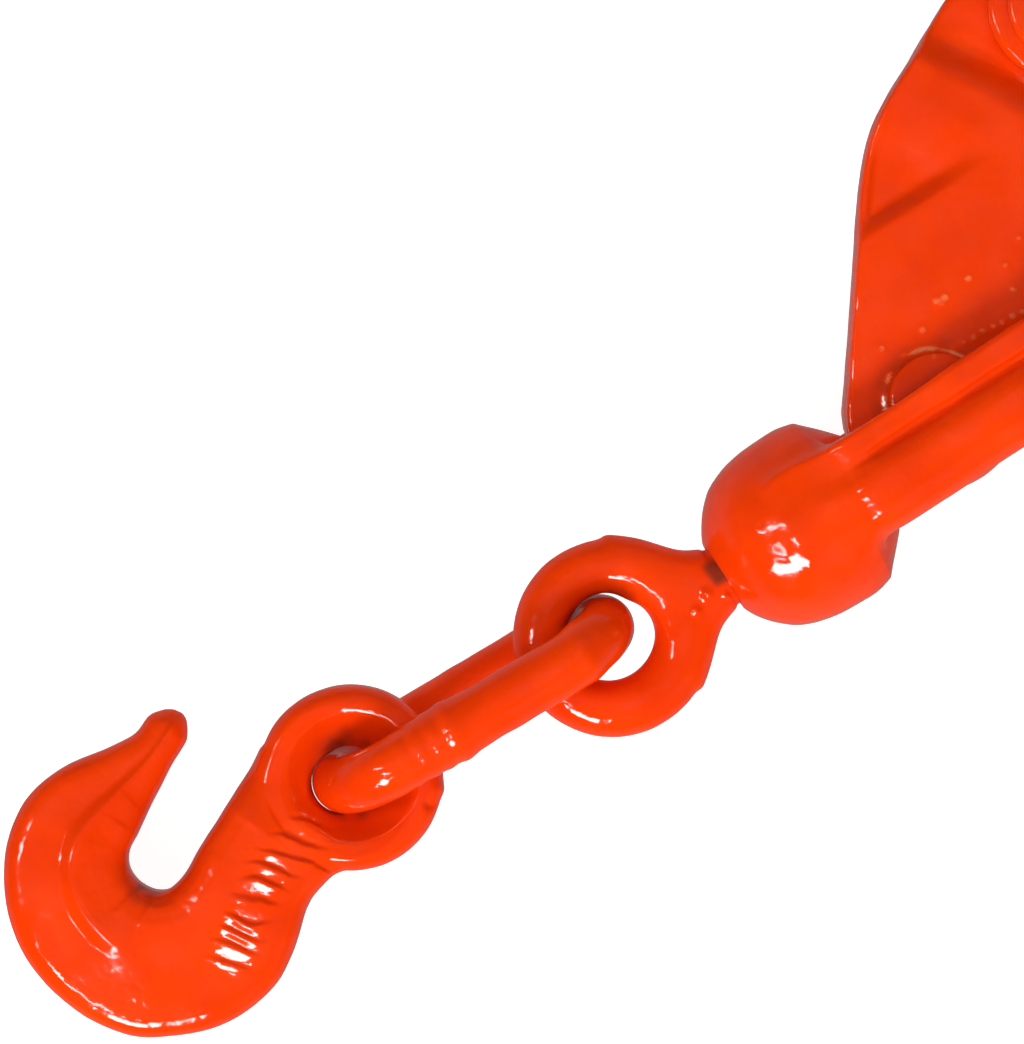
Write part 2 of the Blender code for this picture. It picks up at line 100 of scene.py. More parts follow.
STANDING_END_T = 21.0
STANDING_ARM_T = 23.0
STANDING_HEAD_T = 25.2
PAD_R = 9.5
HEEL = (-66.6, 7.5)
HEEL_R = 19.0
HEEL_PAD_R = 9.8
PIVOT_LOBE_R = 17.0
HANDLE_ROOT = (39.5, 83.5)
HANDLE_DEG = 73.0
HANDLE_LENGTH = 300.0

# The size of the cells that each forging is meshed with
EYE_CELL = 0.42
LINK_CELL = 0.45
HOOK_CELL = 0.45
YOKE_CELL = 0.5
LEVER_CELL = 0.62


# ---------------------------------------------------------------- frames

def joint_spot(name):
    return Vector(JOINTS[name]["pos_m"]) / MM


STANDING_PIVOT = joint_spot("standing_pivot")
PIVOT_SPACING = (joint_spot("moving_pivot") - STANDING_PIVOT).y
MID_Z = STANDING_PIVOT.z


def end_frame(suffix):
    """The chain end's frame in millimetres, from its swivel's axis."""
    x = Vector(JOINTS["swivel_" + suffix]["axis"]).normalized()
    z = Vector((0, 0, 1))
    y = z.cross(x)
    turn = Matrix((x, y, z)).transposed().to_4x4()
    return Matrix.Translation(joint_spot("swivel_" + suffix)) @ turn


LEVER_FRAME = Matrix.Translation(STANDING_PIVOT)
END_FRAMES = {suffix: end_frame(suffix) for suffix in "ab"}
MOVING_REACH = (joint_spot("swivel_b") - joint_spot("moving_pivot")).length
STANDING_REACH = (joint_spot("swivel_a") - STANDING_PIVOT).length


def in_end(suffix, joint):
    return END_FRAMES[suffix].inverted() @ joint_spot(joint)


LINK_FAR = in_end("a", "hook_swing_a")
LINK_NEAR = Vector((EYE_CENTRE[0], in_end("a", "link_swing_a").y, 0))
LINK_PITCH = (LINK_NEAR - LINK_FAR).length
LINK_YAW = math.asin((LINK_NEAR.y - LINK_FAR.y) / LINK_PITCH)
HOOK_CENTRE = (LINK_FAR.x + HOOK_SEAT[0], LINK_FAR.y + HOOK_SEAT[1])


# ---------------------------------------------------------------- distance fields

FAR_INSIDE = -9.0


def melt(a, b, k):
    """Union with a fillet of about k."""
    h = np.clip(0.5 + 0.5 * (b - a) / k, 0, 1)
    return b + (a - b) * h - k * h * (1 - h)


def common(a, b, k):
    """Intersection with a rounded edge of about k."""
    return -melt(-a, -b, k)


def cut(a, b, k):
    """What is left of a without b, with a rounded edge of about k."""
    return -melt(-a, b, k)


def only_where(place, limit):
    """A limit that holds where place is true, and leaves the rest alone."""
    return np.where(place, limit, FAR_INSIDE)


def ease(value, low, high):
    """Rises smoothly from 0 at low to 1 at high."""
    t = np.clip((value - low) / (high - low), 0, 1)
    return t * t * (3 - 2 * t)


def flowing(points, closed=False, steps=5):
    """A smooth line through all the points."""
    p = np.array(points, float)
    if closed:
        p = np.vstack((p[-1:], p, p[:2]))
    else:
        p = np.vstack((2 * p[:1] - p[1:2], p, 2 * p[-1:] - p[-2:-1]))
    chord = np.diff(p, axis=0)
    run = np.linalg.norm(chord, axis=1)[:, None]
    slope = (chord[1:] / run[1:] * run[:-1] + chord[:-1] / run[:-1] * run[1:]) / (run[1:] + run[:-1])
    line = []
    for start, end, left, right, length in zip(p[1:-2], p[2:-1], slope[:-1], slope[1:], run[1:-1]):
        for t in np.arange(steps) / steps:
            line.append((2 * t ** 3 - 3 * t ** 2 + 1) * start + (t ** 3 - 2 * t ** 2 + t) * length * left
                        + (3 * t ** 2 - 2 * t ** 3) * end + (t ** 3 - t ** 2) * length * right)
    return np.array(line if closed else line + [p[-2]])


def line_runs(points):
    """The length of each stretch of a line, and how far along it each of its points is."""
    lengths = np.linalg.norm(np.diff(points, axis=0), axis=1)
    return lengths, np.concatenate(([0], np.cumsum(lengths)))


def path_distance(points, x, y):
    """Distance to an open line through the points, and how far along it the nearest place is, from 0 to 1."""
    p = np.array(points, float)
    runs, starts = line_runs(p)
    best = np.full(np.broadcast(x, y).shape, 1e9)
    where = np.zeros_like(best)
    for a, b, run, start in zip(p[:-1], p[1:], runs, starts):
        d = (b - a) / run
        t = np.clip((x - a[0]) * d[0] + (y - a[1]) * d[1], 0, run)
        gap = np.hypot(x - a[0] - t * d[0], y - a[1] - t * d[1])
        nearer = gap < best
        best = np.where(nearer, gap, best)
        where = np.where(nearer, (start + t) / starts[-1], where)
    return best, where


def outline_distance(points, x, y):
    """Signed distance to a closed outline, negative inside."""
    p = np.array(points, float)
    closed = np.vstack((p, p[:1]))
    gap, _ = path_distance(closed, x, y)
    inside = np.zeros(gap.shape, bool)
    for a, b in zip(closed[:-1], closed[1:]):
        if a[1] == b[1]:
            continue
        crosses = (a[1] > y) != (b[1] > y)
        at = a[0] + (y - a[1]) * (b[0] - a[0]) / (b[1] - a[1])
        inside ^= crosses & (x < at)
    return np.where(inside, -gap, gap)


def arc(centre, radius, start_deg, end_deg, steps):
    turns = np.radians(np.linspace(start_deg, end_deg, steps + 1))
    return [(centre[0] + radius * math.cos(t), centre[1] + radius * math.sin(t)) for t in turns]


def slab(across, z, low, high, edge):
    """An outline's distance given thickness on both sides, from |z| = low to high."""
    up = np.abs(z)
    return common(common(across, up - high, edge), low - up, 0.4)


# ---------------------------------------------------------------- paint

HASH_PRIMES = (73856093, 19349663, 83492791)
HASH_SEED = 2654435
HASH_SPREAD = 1274126177


def noise(p, size, seed):
    """Smooth noise from -1 to 1 whose bumps are about that size."""
    q = np.asarray(p, float) / size + np.array([17.3, 5.1, 9.7]) * (seed + 1)
    cell = np.floor(q).astype(np.int64)
    f = q - cell
    f = f * f * (3 - 2 * f)
    total = np.zeros(len(q))
    for corner in np.ndindex(2, 2, 2):
        mixed = np.bitwise_xor.reduce((cell + corner) * HASH_PRIMES, axis=1) ^ (seed * HASH_SEED)
        mixed = (mixed ^ (mixed >> 13)) * HASH_SPREAD & 0x7FFFFFFF
        weight = np.prod(np.where(np.array(corner), f, 1 - f), axis=1)
        total += weight * ((mixed & 0xFFFF) / 32767.5 - 1)
    return total


def dab(points, x, y, spread):
    """A round spot, 1 at its middle, that fades over about the square root of spread."""
    return np.exp(-(((points[:, 0] - x) ** 2 + (points[:, 1] - y) ** 2) / spread))


# ---------------------------------------------------------------- meshes

BROAD_WAVES = (0.16, 9)
SMALL_WAVES = (0.07, 3.6)
WAVES_SUNK = 0.12
ROUND_STEPS = 96


def place(name, points, faces, frame_matrix, body, paint, slot_name):
    """Makes the mesh, puts it in the row frame, ties it to its body, and hides the CAD part of its name."""
    counts = np.array([len(face) for face in faces])
    corners = np.concatenate(faces).astype(np.int32)
    mesh = bpy.data.meshes.new(name)
    mesh.vertices.add(len(points))
    mesh.vertices.foreach_set("co", np.asarray(points, np.float32).ravel())
    mesh.loops.add(len(corners))
    mesh.loops.foreach_set("vertex_index", corners)
    mesh.polygons.add(len(counts))
    mesh.polygons.foreach_set("loop_start", (np.cumsum(counts) - counts).astype(np.int32))
    mesh.update(calc_edges=True)
    mesh.validate()
    mesh.transform(Matrix.Scale(MM, 4) @ frame_matrix)
    mesh.shade_smooth()
    mesh.materials.append(paint)
    piece = bpy.data.objects.new(name, mesh)
    bpy.context.scene.collection.objects.link(piece)
    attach(piece, body)
    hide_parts(name)
    return piece


def normals_of(points, quads):
    """Vertex normals of a quad mesh, from its faces' diagonals."""
    corner = points[quads]
    face = np.cross(corner[:, 2] - corner[:, 0], corner[:, 3] - corner[:, 1])
    total = np.zeros_like(points)
    for k in range(4):
        np.add.at(total, quads[:, k], face)
    return total / np.maximum(np.linalg.norm(total, axis=1, keepdims=True), 1e-9)


def forged(name, low, high, cell, field, frame_matrix, body, seed, marks=None, swell=None):
    """Meshes a distance field between two corners, and gives it the waves of a painted forging."""
    axes = [np.arange(a - 3 * cell, b + 4 * cell, cell) for a, b in zip(low, high)]
    x = axes[0][:, None, None]
    y = axes[1][None, :, None]
    z = axes[2][None, None, :]
    reach = 3 * cell
    values = np.clip(np.broadcast_to(field(x, y, z), [len(a) for a in axes]), -reach, reach)
    grid = openvdb.FloatGrid(reach)
    grid.copyFromArray(np.ascontiguousarray(values, np.float32))
    points, quads = grid.convertToQuads(isovalue=0.0)
    points = points.astype(float) * cell + np.array([a[0] for a in axes])
    normals = normals_of(points, quads)
    waves = (BROAD_WAVES[0] * noise(points, BROAD_WAVES[1], seed)
             + SMALL_WAVES[0] * noise(points, SMALL_WAVES[1], seed + 1) - WAVES_SUNK)
    if swell is not None:
        waves = waves + swell(points, normals)
    points = points + normals * waves[:, None]
    piece = place(name, points, quads, frame_matrix, body, PAINT, "binder_paint")
    # The marks: painted highlight and pale specks above 0, painted shade mixed with dirt below 0
    pale = np.zeros(len(points)) if marks is None else marks(points, normals)
    piece.data.attributes.new("pale", "FLOAT", "POINT").data.foreach_set("value", pale.astype(np.float32))


def turned(name, profile, frame_matrix, body, finish, slot_name, axis="X"):
    """Turns a closed or pole-to-pole profile of (along, radius) points about the X or Z axis."""
    points, faces, rows = [], [], []
    for along, radius in profile:
        if radius == 0:
            rows.append([len(points)])
            points.append((along, 0, 0))
            continue
        rows.append(list(range(len(points), len(points) + ROUND_STEPS)))
        for k in range(ROUND_STEPS):
            turn = math.tau * k / ROUND_STEPS
            points.append((along, radius * math.cos(turn), radius * math.sin(turn)))
    pairs = list(zip(rows, rows[1:]))
    if len(rows[0]) > 1:
        pairs.append((rows[-1], rows[0]))
    for a, b in pairs:
        for k in range(ROUND_STEPS):
            j = (k + 1) % ROUND_STEPS
            quad = [a[k % len(a)], b[k % len(b)], b[j % len(b)], a[j % len(a)]]
            faces.append([v for i, v in enumerate(quad) if v not in quad[:i]])
    points = np.array(points, float)
    if axis == "Z":
        points = points[:, [1, 2, 0]]
    place(name, points, faces, frame_matrix, body, finish, slot_name)


# ---------------------------------------------------------------- materials

def new_material(name):
    """A material, its node tree and its principled shader."""
    made = bpy.data.materials.new(name)
    made.use_nodes = True
    return made, made.node_tree, made.node_tree.nodes["Principled BSDF"]


def feed(tree, node, values):
    """Fills a node's inputs: another node's output is linked, and anything else is a fixed value."""
    for name, value in values.items():
        if isinstance(value, bpy.types.NodeSocket):
            tree.links.new(value, node.inputs[name])
        else:
            node.inputs[name].default_value = value


def object_place(tree):
    return tree.nodes.new("ShaderNodeTexCoord").outputs["Object"]


def texture(tree, spot, scale, detail):
    """Noise with that many waves to a metre."""
    node = tree.nodes.new("ShaderNodeTexNoise")
    feed(tree, node, {"Vector": spot, "Scale": scale, "Detail": detail})
    return node.outputs["Fac"]


def remap(tree, value, low, high, to_low=0.0, to_high=1.0):
    """Stretches a value's range from low and high to to_low and to_high, and stops there."""
    node = tree.nodes.new("ShaderNodeMapRange")
    feed(tree, node, {"Value": value, "From Min": low, "From Max": high, "To Min": to_low, "To Max": to_high})
    return node.outputs["Result"]


def tinted(tree, value, low, low_colour, high, high_colour):
    """A colour that runs from low_colour at low to high_colour at high."""
    node = tree.nodes.new("ShaderNodeValToRGB")
    first, last = node.color_ramp.elements
    first.position, first.color = low, low_colour
    last.position, last.color = high, high_colour
    feed(tree, node, {"Fac": value})
    return node.outputs["Color"]


# A mix node's sockets for colours
MIX_SHARE, MIX_FIRST, MIX_SECOND = 0, 6, 7
MIX_RESULT = 2


def covered(tree, share, colour, cover):
    """One colour covered by another, by a share from 0 to 1."""
    node = tree.nodes.new("ShaderNodeMix")
    node.data_type = "RGBA"
    feed(tree, node, {MIX_SHARE: share, MIX_FIRST: colour, MIX_SECOND: cover})
    return node.outputs[MIX_RESULT]


def bumpy(tree, height, strength, distance):
    node = tree.nodes.new("ShaderNodeBump")
    feed(tree, node, {"Height": height, "Strength": strength, "Distance": distance})
    return node


def enamel():
    """Thick glossy orange-red enamel: colour drift, orange peel, pale specks and painted highlight, and
    painted shade mixed with dirt.
    """
    made, tree, shader = new_material("binder_enamel")
    spot = object_place(tree)
    drift = texture(tree, spot, 55, 4)
    body = tinted(tree, drift, 0.32, (0.74, 0.034, 0.0005, 1), 0.70, (0.86, 0.047, 0.0008, 1))

    mark = tree.nodes.new("ShaderNodeAttribute")
    mark.attribute_name = "pale"
    # Above 0 the marks are painted highlight, on the paint bead round the heel's pad and along the dotted
    # line by the standing arm, and pale specks
    glints_and_specks = remap(tree, mark.outputs["Fac"], 0.15, 1.0, 0.0, 0.75)
    glinted_and_specked = covered(tree, glints_and_specks, body, (0.95, 0.40, 0.16, 1))
    # Below 0 they are painted shade in the gaps and crevices between parts, mixed with dirt, and painted
    # shadow under the standing arm
    shade_and_dirt = remap(tree, mark.outputs["Fac"], 0.0, -1.0, 0.0, 0.85)
    shaded_and_dirtied = covered(tree, shade_and_dirt, glinted_and_specked, (0.045, 0.018, 0.012, 1))

    rubbed = remap(tree, texture(tree, spot, 160, 6), 0.35, 0.75, 0.07, 0.17)
    peel = bumpy(tree, texture(tree, spot, 700, 2), 0.5, 0.00006)
    waves = bumpy(tree, texture(tree, spot, 210, 2), 0.6, 0.00035)
    feed(tree, peel, {"Normal": waves.outputs["Normal"]})
    feed(tree, shader, {"IOR": 1.5, "Base Color": shaded_and_dirtied, "Roughness": rubbed,
                        "Normal": peel.outputs["Normal"]})
    return made


def worn_steel():
    """Greased steel of the swivel's washer and button, with a fine grain and a little rust."""
    made, tree, shader = new_material("worn_steel")
    spot = object_place(tree)
    blotch = texture(tree, spot, 180, 6)
    rusty = tinted(tree, blotch, 0.34, (0.16, 0.085, 0.05, 1), 0.56, (0.46, 0.45, 0.43, 1))
    gloss = remap(tree, blotch, 0.0, 1.0, 0.55, 0.25)
    grain = bumpy(tree, texture(tree, spot, 1500, 2), 0.4, 0.00005)
    feed(tree, shader, {"Metallic": 1.0, "Base Color": rusty, "Roughness": gloss,
                        "Normal": grain.outputs["Normal"]})
    return made


def pale_floor():
    made, tree, shader = new_material("studio_floor")
    feed(tree, shader, {"Base Color": (0.50, 0.50, 0.50, 1), "Roughness": 0.9,
                        "Emission Color": (1, 1, 1, 1), "Emission Strength": 0.85})
    return made


PAINT = enamel()
STEEL = worn_steel()


# ---------------------------------------------------------------- coupling link

PAINT_T = 0.12
WELD_ALONG = -5.5
WELD_H = 0.42
WELD_HALF_W = 1.6
WELDED_LIMB_H = 0.22
RIPPLE_H = 0.10
RIPPLE_LENGTH = 3.7
LINK_LUMPS = ((0.34, 25.5, 2.0), (-0.22, 2.5, 3.0))


def link_field(x, y, z):
    """A link whose upper limb carries the weld, ripples of paint, a lump and a hollow."""
    half = LINK_PITCH / 2 - LINK_INNER_W / 2 - LINK_WIRE_R
    roll = math.radians(LINK_ROLL_DEG)
    middle = (LINK_NEAR + LINK_FAR) / 2
    dx = x - middle.x
    dy = y - middle.y
    along = dx * math.cos(LINK_YAW) + dy * math.sin(LINK_YAW)
    across = dy * math.cos(LINK_YAW) - dx * math.sin(LINK_YAW)
    side = across * math.cos(roll) + z * math.sin(roll)
    lateral = z * math.cos(roll) - across * math.sin(roll)
    over = np.maximum(np.abs(along) - half, 0)
    in_plane = np.hypot(over, lateral) - LINK_INNER_W / 2 - LINK_WIRE_R
    wire = LINK_WIRE_R + PAINT_T
    upper = ease(lateral, 0, 3)
    weld = WELD_ALONG - along
    upset = (WELD_H * np.exp(-((weld / WELD_HALF_W) ** 2))
             + WELDED_LIMB_H * ease(weld, -1, 2) * ease(-weld, -16, -6))
    ripples = (RIPPLE_H * np.sin(along * math.tau / RIPPLE_LENGTH)
               * ease(along, -22, -17) * ease(-along, 4, 8))
    lumps = sum(height * np.exp(-((along - spot) / length) ** 2) for height, spot, length in LINK_LUMPS)
    return np.hypot(in_plane, side) - wire - upper * (upset + ripples + lumps)


# ---------------------------------------------------------------- swivel

LOW_SIDE_FAT = 0.65
NECK_SIDE_FAT = 0.2
CORNER_FAT = 0.42
CORNER_TURN = 0.62
CORNER_SPAN = 0.38
SHOULDER_X = 10.0
SHOULDER_FACE_X = 10.9
SHOULDER_L = 16.0
NECK_HALF_W = 7.3
SHOULDER_EXTRA_W = 8.9
SHOULDER_HALF_T = 4.2
NECK_EXTRA_T = 2.8
SHANK_ROOT = 2.6
# Where the link lies in the eye, darkened with painted shade and dirt
LINK_CONTACT = (9.4, 9.5)
NECK_NIBS = ((-23.8, -1.4, 1.3), (-20.8, -3.8, 0.7), (-27.6, -3.1, 1.0))


def eye_field(x, y, z):
    """The swivel's eye: round wire whose shoulders taper to the neck, and the shank inside the boss."""
    cx, cy = EYE_CENTRE
    spread = np.hypot(x - cx, y - cy)
    turn = np.arctan2(y - cy, x - cx)
    fat = LOW_SIDE_FAT * np.clip(-np.sin(turn), 0, 1) ** 1.5 + NECK_SIDE_FAT * np.clip(np.cos(turn), 0, 1)
    fat = fat + CORNER_FAT * np.exp(-((turn - CORNER_TURN) / CORNER_SPAN) ** 2)
    ring = np.hypot((spread - EYE_RING_R + fat) / (1 + fat / EYE_WIRE_R), z) - EYE_WIRE_R
    share = np.clip((x - (cx + SHOULDER_X)) / SHOULDER_L, 0, 1)
    half_w = NECK_HALF_W + SHOULDER_EXTRA_W * (1 - share) ** 1.25
    half_t = SHOULDER_HALF_T + NECK_EXTRA_T * share ** 0.7
    offset = y - cy * (1 - share) - 0.9 * share * (1 - share)
    wedge = (np.sqrt((offset / half_w) ** 2 + (z / half_t) ** 2) - 1) * np.minimum(half_w, half_t)
    ends = np.maximum(cx + SHOULDER_FACE_X - x, x - (BOSS_BACK_X - GAP))
    body = melt(ring, common(wedge, ends, 1.2), 3.4)
    r = np.hypot(y, z)
    shank_end = BUTTON_SEAT_X + GAP + WASHER_T
    shank = np.maximum(r - SHANK_R, np.maximum(BOSS_BACK_X - SHANK_ROOT - x, x - shank_end))
    spigot = np.maximum(r - SPIGOT_R, np.maximum(BUTTON_SEAT_X - x, x - shank_end - SPIGOT_L))
    return np.minimum(body, np.minimum(shank, spigot))


def eye_swell(points, normals):
    """Blobs of paint on the neck."""
    blobs = sum(0.75 * size * dab(points, x, y, size ** 2) for x, y, size in NECK_NIBS)
    return blobs * (normals[:, 2] > 0.3)


def eye_marks(points, normals):
    """Painted shade where the neck goes into the boss, and painted shade mixed with dirt where the link rubs
    in the eye.
    """
    x, y = points[:, 0], points[:, 1]
    # Painted shade in the gap between the neck and the boss's back
    neck = ease(x, -22.6, -20.6) * ease(-np.abs(y - 1.6), -3.6, -1.6) * (0.8 + 0.3 * noise(points, 1.6, 61))
    contact_r, contact_y = LINK_CONTACT
    r = np.hypot(x - EYE_CENTRE[0], y - EYE_CENTRE[1])
    # Painted shade mixed with dirt in the crevice where the link lies in the eye
    rub_and_shade = np.exp(-((r - contact_r) ** 2 / 1.6 + (y - contact_y) ** 2 / 18))
    return -np.clip(np.maximum(neck, rub_and_shade * (0.5 + 0.4 * noise(points, 2, 62))), 0, 1)


# ---------------------------------------------------------------- grab hook

# Outlines from the eye round to the tip, from the eye's centre; each back point faces a throat point
HOOK_BACK = ((-12.6, -15.0), (-20.7, -17.2), (-28.2, -23.3), (-35.3, -27.7), (-43.8, -29.4), (-51.9, -28.7),
             (-59.5, -25.8), (-67.2, -20.9), (-71.9, -14.7), (-76.5, -1.9), (-76.6, 9.1), (-72.0, 21.2),
             (-66.6, 27.8), (-59.3, 32.6), (-50.2, 34.2), (-38.5, 32.4), (-32.8, 32.0), (-27.9, 33.6),
             (-24.8, 33.0))
HOOK_THROAT = ((-12.6, 14.8), (-20.0, 11.5), (-27.5, 7.9), (-34.5, 4.5), (-39.5, 1.9), (-42.5, 1.0),
               (-44.5, 0.9), (-46.3, 1.8), (-47.6, 3.3), (-48.7, 6.0), (-48.7, 9.0), (-47.3, 11.5),
               (-43.6, 13.9), (-38.5, 17.0), (-34.5, 19.2), (-29.7, 22.0), (-26.5, 23.6), (-24.4, 24.8),
               (-22.7, 26.9))
HOOK_TIP = ((-23.2, 31.9), (-22.2, 30.3), (-22.1, 28.5))
# Shares of the body's half thickness, one for each pair of points
HOOK_THICKNESS = (0.60, 0.88, 1.0, 0.99, 0.97, 0.955, 0.95, 0.95, 0.96, 0.97, 0.97, 0.96, 0.94, 0.86, 0.76,
                  0.62, 0.55, 0.50, 0.42)
# Across the body from its back to its throat: place and height, with a ridge and without
HOOK_SLOPE = ((0.0, 0.80), (0.12, 0.83), (0.34, 0.87), (0.46, 0.885), (0.55, 1.0), (0.59, 1.0),
              (0.72, 0.90), (0.88, 0.78), (1.0, 0.68))
HOOK_PLAIN_SLOPE = ((0.0, 0.80), (0.12, 0.84), (0.34, 0.90), (0.50, 0.94), (0.66, 0.98), (0.78, 1.0),
                    (0.90, 0.94), (1.0, 0.80))
RIDGE_STARTS = (0.44, 0.55)
HOOK_RING_T = 7.7
DISH_SLOPE = 1.02
WAIST_FLARE = 0.19

WRINKLE_LINE = ((-14.0, -5.0), (-26.0, -8.0), (-40.0, -17.5))
WRINKLE_WAY = (0.73, 0.68)
WRINKLE_LENGTH = 3.6
WRINKLE_RISE = 0.78
WRINKLE_FALL = 0.22
WRINKLE_H = 1.04
PIT = (11.2, -13.5)
DRIP = (14.3, -11.8)
# Spots darkened with painted shade and dirt: the crevice beside the link, and the throat's root
CREVICE = (1.5, 7.6)
THROAT_ROOT = (-47.6, 3.4)


def hook_field(x, y, z):
    """A grab hook: a disc eye with a dished hole, and a body whose long back slopes up to a ridge."""
    hx = x - HOOK_CENTRE[0]
    hy = y - HOOK_CENTRE[1]
    up = np.abs(z)
    flat_x, flat_y = np.broadcast_arrays(hx[:, :, 0], hy[:, :, 0])
    back = flowing(HOOK_BACK)
    throat = flowing(HOOK_THROAT)
    to_back, _ = path_distance(back, flat_x, flat_y)
    to_throat, _ = path_distance(throat, flat_x, flat_y)
    middle = np.array(HOOK_BACK) * 0.45 + np.array(HOOK_THROAT) * 0.55
    _, where = path_distance(middle, flat_x, flat_y)
    _, starts = line_runs(middle)
    thick = np.interp(where, starts / starts[-1], HOOK_THICKNESS) * HOOK_BODY_T
    share = to_back / np.maximum(to_back + to_throat, 1e-6)
    ridged = ease(where, *RIDGE_STARTS)
    with_ridge = np.interp(share, *zip(*HOOK_SLOPE))
    without = np.interp(share, *zip(*HOOK_PLAIN_SLOPE))
    height = thick * (ridged * with_ridge + (1 - ridged) * without)
    across = outline_distance(np.vstack((back, HOOK_TIP, throat[::-1])), flat_x, flat_y)
    body = common(across[:, :, None], (up - height[:, :, None]) * 0.93, 4.6)
    r = np.hypot(hx, hy)
    eye = common(r - HOOK_EYE_R, up - HOOK_RING_T + 0.06 * (r - HOOK_DISH_R) ** 2, 3.4)
    whole = melt(body, eye, 2.2)
    dish = (r - HOOK_DISH_R - 2.6 + (HOOK_BODY_T - up) * DISH_SLOPE) * 0.7
    inner = LINK_INNER_W / 2
    bend = inner + LINK_WIRE_R - np.sqrt(np.maximum(inner ** 2 - up ** 2, 0))
    waist = (np.hypot(hx + HOOK_SEAT[0], hy + HOOK_SEAT[1]) - bend - WAIST_FLARE * up) * 0.75
    return cut(whole, np.minimum(dish, waist), 1.2)


def hook_swell(points, normals):
    """Wrinkles of thick paint on the shank, and a small pit and a drip beside the eye."""
    spots = points[:, :2] - np.array(HOOK_CENTRE)
    gap, _ = path_distance(WRINKLE_LINE, spots[:, 0], spots[:, 1])
    patch = ease(-gap, -6.5, -1.5) * ease(np.abs(points[:, 2]), 3, 6)
    uphill = spots @ np.array(WRINKLE_WAY) + 1.5 * noise(points, 6.5, 31) + 0.35 * noise(points, 2.2, 32)
    step = (uphill / WRINKLE_LENGTH) % 1.0
    rising = step / WRINKLE_RISE
    falling = (1 - step) / WRINKLE_FALL
    wrinkle = WRINKLE_H * (np.where(step < WRINKLE_RISE, rising, falling) - 0.5)
    top = points[:, 2] > 0
    pit = dab(spots, *PIT, 1.1) * top
    drip = np.exp(-(((spots[:, 0] - DRIP[0]) ** 2) / 2.2 + (spots[:, 1] - DRIP[1]) ** 2 / 3.2)) * top
    return patch * wrinkle - 0.9 * pit + 0.55 * drip


def hook_marks(points, normals):
    """Painted shade mixed with dirt where the link rubs in the dish, on the hole's throat side, and at the
    root of the throat.
    """
    spots = points[:, :2] - np.array(HOOK_CENTRE)
    r = np.hypot(spots[:, 0], spots[:, 1])
    # Painted shade mixed with dirt round the hole where the link lies, and in the crevice beside it
    rub_and_shade = ease(-r, -HOOK_HOLE_R - 1.2, -HOOK_HOLE_R + 1) * (0.40 + 0.35 * noise(points, 2.2, 41))
    crevice = np.exp(-((spots[:, 0] - CREVICE[0]) ** 2 / 16 + (spots[:, 1] - CREVICE[1]) ** 2 / 5))
    crevice = crevice * (0.7 + 0.3 * noise(points, 2, 43))
    rub_and_shade = np.maximum(rub_and_shade, crevice * (np.abs(points[:, 2]) < 6.2))
    # Painted shade mixed with dirt at the throat's root
    root = dab(spots, *THROAT_ROOT, 9.0) * (0.6 + 0.5 * noise(points, 1.6, 42))
    return -np.clip(np.maximum(rub_and_shade, root), 0, 1)


# ---------------------------------------------------------------- chain ends

def swivel_steel(suffix):
    """The thrust washer and the button with its socket for the spigot, their edges broken."""
    place_at = END_FRAMES[suffix]
    body = "swivel_" + suffix
    start = BUTTON_SEAT_X + GAP
    hole = SHANK_R + GAP
    end = start + WASHER_T
    turned("swivel_washer_" + suffix, [(start, hole), (start, BUTTON_R - 0.4), (start + 0.3, BUTTON_R),
                                       (end - 0.3, BUTTON_R), (end, BUTTON_R - 0.4), (end, hole)],
           place_at, body, STEEL, "swivel_steel")
    start = end + GAP
    face = CROTCH_X - GAP
    socket = end + SPIGOT_L + GAP
    turned("swivel_button_" + suffix, [(socket, 0), (socket, SPIGOT_R + GAP), (start, SPIGOT_R + GAP),
                                       (start, BUTTON_R - 0.3), (start + 0.3, BUTTON_R),
                                       (face - 1.6, BUTTON_R), (face - 0.7, BUTTON_R - 0.7),
                                       (face - 0.1, BUTTON_R - 2.4), (face - 0.1, 2.6),
                                       (face - 0.8, 1.8), (face - 0.8, 0)],
           place_at, body, STEEL, "swivel_steel")


def chain_end(suffix, seed):
    """Link, eye and hook, each meshed inside a box that clears it, and the swivel's steel pieces."""
    place_at = END_FRAMES[suffix]
    reach = LINK_INNER_W / 2 + 2 * LINK_WIRE_R + 1
    forged("coupling_link_" + suffix, (LINK_FAR.x - 8, LINK_NEAR.y - 11, -reach),
           (LINK_NEAR.x + 8, LINK_FAR.y + 11, reach), LINK_CELL, link_field,
           place_at, "link_" + suffix, seed)
    ring = EYE_RING_R + EYE_WIRE_R + 2
    forged("swivel_eye_" + suffix, (EYE_CENTRE[0] - ring, -ring, -8), (BUTTON_SEAT_X + 8, ring, 8), EYE_CELL,
           eye_field, place_at, "swivel_" + suffix, seed + 10, eye_marks, eye_swell)
    hx, hy = HOOK_CENTRE
    forged("grab_hook_" + suffix, (hx - 78, hy - 31, -11), (hx + 20, hy + 36, 11), HOOK_CELL, hook_field,
           place_at, "hook_" + suffix, seed + 20, hook_marks, hook_swell)
    swivel_steel(suffix)


# ---------------------------------------------------------------- yokes and rivets

BOSS_CURVE = ((-19.0, 8.2), (-18.2, 9.8), (-16.6, 12.2), (-14.4, 14.8), (-11.8, 17.0), (-8.6, 18.5),
              (-4.0, 19.6), (2.0, 20.1), (6.6, 20.1), (10.4, 19.2))
BOSS_PROFILE = [(BOSS_BACK_X, 7.6)] + list(flowing(BOSS_CURVE)) + [(CROTCH_X, 11.6)]
BOSS_TABLE_STEP = 0.4
ARM_CROWN = 0.022

STANDING_ROOT_X = -3.0
STANDING_ROOT_DROP = 3.7
BAR_MID_Y = -3.0
BAR_HALF_W = 7.2
FLANGE_Y = 11.3
FLANGE_DROP = 2.2
GROOVE_Y = 5.3
GROOVE_R = 1.25
GROOVE_DEPTH = 1.3

